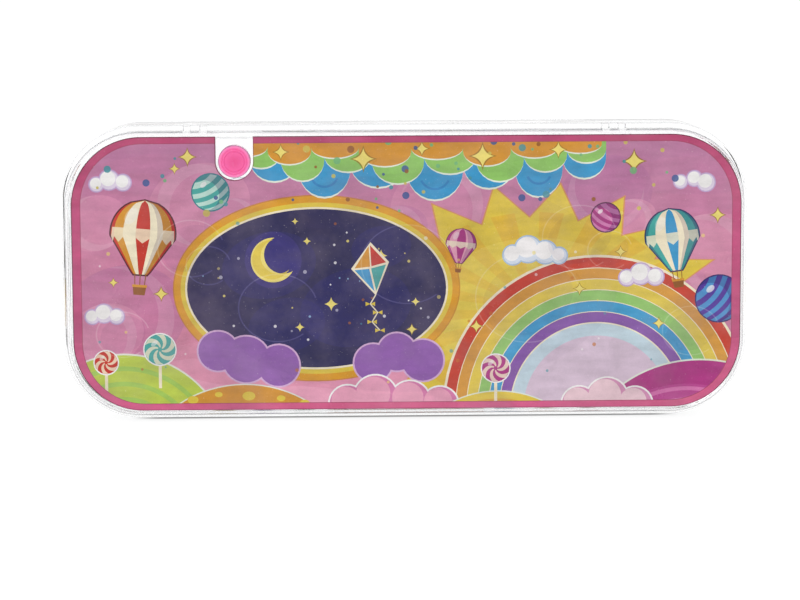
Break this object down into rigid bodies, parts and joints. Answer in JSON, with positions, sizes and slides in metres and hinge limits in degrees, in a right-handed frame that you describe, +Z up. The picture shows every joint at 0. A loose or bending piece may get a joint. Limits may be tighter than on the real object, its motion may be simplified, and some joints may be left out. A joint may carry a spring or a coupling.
{
  "type": "handheld water ring game",
  "caption": "Clear landscape water game: push buttons pump jets that lift rings onto pegs, with a rear fill plug and printed films.",
  "frame": {"origin": "middle of the flat under-edge that the case stands on, in the case's mid plane", "axes": "+Z up with the game held upright, -Y toward the player at the front, +X to the player's right, +Y out of the back with the fill plug"},
  "size_m": [0.16, 0.024, 0.0686],
  "materials": {
    "clear_case": "clear moulded polystyrene, glossy, faint scuffs",
    "clear_inner": "clear moulded plastic inside the tank",
    "front_print": "printed self-adhesive film, glossy",
    "scene_print": "printed self-adhesive film, seen through the tank",
    "rear_print": "printed self-adhesive film, glossy, slightly see-through",
    "plug_rubber": "soft silicone, satin",
    "button_plastic": "glossy moulded plastic",
    "collar_plastic": "glossy moulded plastic",
    "bellows_rubber": "milky silicone, satin",
    "clamp_plastic": "white moulded plastic",
    "stand_plastic": "glossy moulded plastic",
    "plastic_pink": "glossy moulded plastic",
    "plastic_yellow": "glossy moulded plastic",
    "plastic_green": "glossy moulded plastic",
    "plastic_blue": "glossy moulded plastic",
    "plastic_red": "glossy moulded plastic",
    "plastic_violet": "glossy moulded plastic"
  },
  "bodies": {
    "case": {"front_shell": "clear_case", "rear_shell": "clear_case", "front_label": "front_print", "scene_film": "scene_print", "rear_label": "rear_print", "left_button_collar": "collar_plastic", "right_button_collar": "collar_plastic", "left_bellows": "bellows_rubber", "right_bellows": "bellows_rubber", "left_bellows_clamp": "clamp_plastic", "right_bellows_clamp": "clamp_plastic", "left_pump_cup": "clear_inner", "right_pump_cup": "clear_inner", "left_jet_pipe": "clear_inner", "right_jet_pipe": "clear_inner", "peg_stand": "stand_plastic", "left_peg": "plastic_green", "centre_peg": "plastic_pink", "right_peg": "plastic_blue"},
    "left_button": {"left_button": "button_plastic"},
    "right_button": {"right_button": "button_plastic"},
    "plug": {"fill_plug": "plug_rubber"},
    "ring_1": {"ring_1": "plastic_red"},
    "ring_2": {"ring_2": "plastic_yellow"},
    "ring_3": {"ring_3": "plastic_blue"},
    "ring_4": {"ring_4": "plastic_green"},
    "ring_5": {"ring_5": "plastic_violet"},
    "ring_6": {"ring_6": "plastic_yellow"},
    "ring_7": {"ring_7": "plastic_yellow"},
    "ring_8": {"ring_8": "plastic_blue"},
    "ring_9": {"ring_9": "plastic_red"}
  },
  "joints": [
    {"name": "left_button_press", "type": "slide", "parent": "case", "child": "left_button", "axis": [0, 1, 0], "range_m": [0, 0.004], "stiffness_N_per_m": 350, "springref_m": -0.001, "deforming": ["left_bellows"]},
    {"name": "right_button_press", "type": "slide", "parent": "case", "child": "right_button", "axis": [0, 1, 0], "range_m": [0, 0.004], "stiffness_N_per_m": 350, "springref_m": -0.001, "deforming": ["right_bellows"]},
    {"name": "plug_pull", "type": "slide", "parent": "case", "child": "plug", "axis": [0, 1, 0], "range_m": [0, 0.012]},
    {"name": "ring_1_float", "type": "slide", "parent": "case", "child": "ring_1", "axis": [0, 0, 1], "range_m": [0, 0.045]},
    {"name": "ring_2_float", "type": "slide", "parent": "case", "child": "ring_2", "axis": [0, 0, 1], "range_m": [0, 0.045]},
    {"name": "ring_3_float", "type": "slide", "parent": "case", "child": "ring_3", "axis": [0, 0, 1], "range_m": [0, 0.045]},
    {"name": "ring_4_float", "type": "slide", "parent": "case", "child": "ring_4", "axis": [0, 0, 1], "range_m": [0, 0.045]},
    {"name": "ring_5_float", "type": "slide", "parent": "case", "child": "ring_5", "axis": [0, 0, 1], "range_m": [0, 0.045]},
    {"name": "ring_6_float", "type": "slide", "parent": "case", "child": "ring_6", "axis": [0, 0, 1], "range_m": [0, 0.045]},
    {"name": "ring_7_float", "type": "slide", "parent": "case", "child": "ring_7", "axis": [0, 0, 1], "range_m": [0, 0.05]},
    {"name": "ring_8_float", "type": "slide", "parent": "case", "child": "ring_8", "axis": [0, 0, 1], "range_m": [0, 0.046]},
    {"name": "ring_9_float", "type": "slide", "parent": "case", "child": "ring_9", "axis": [0, 0, 1], "range_m": [0, 0.05]}
  ]
}
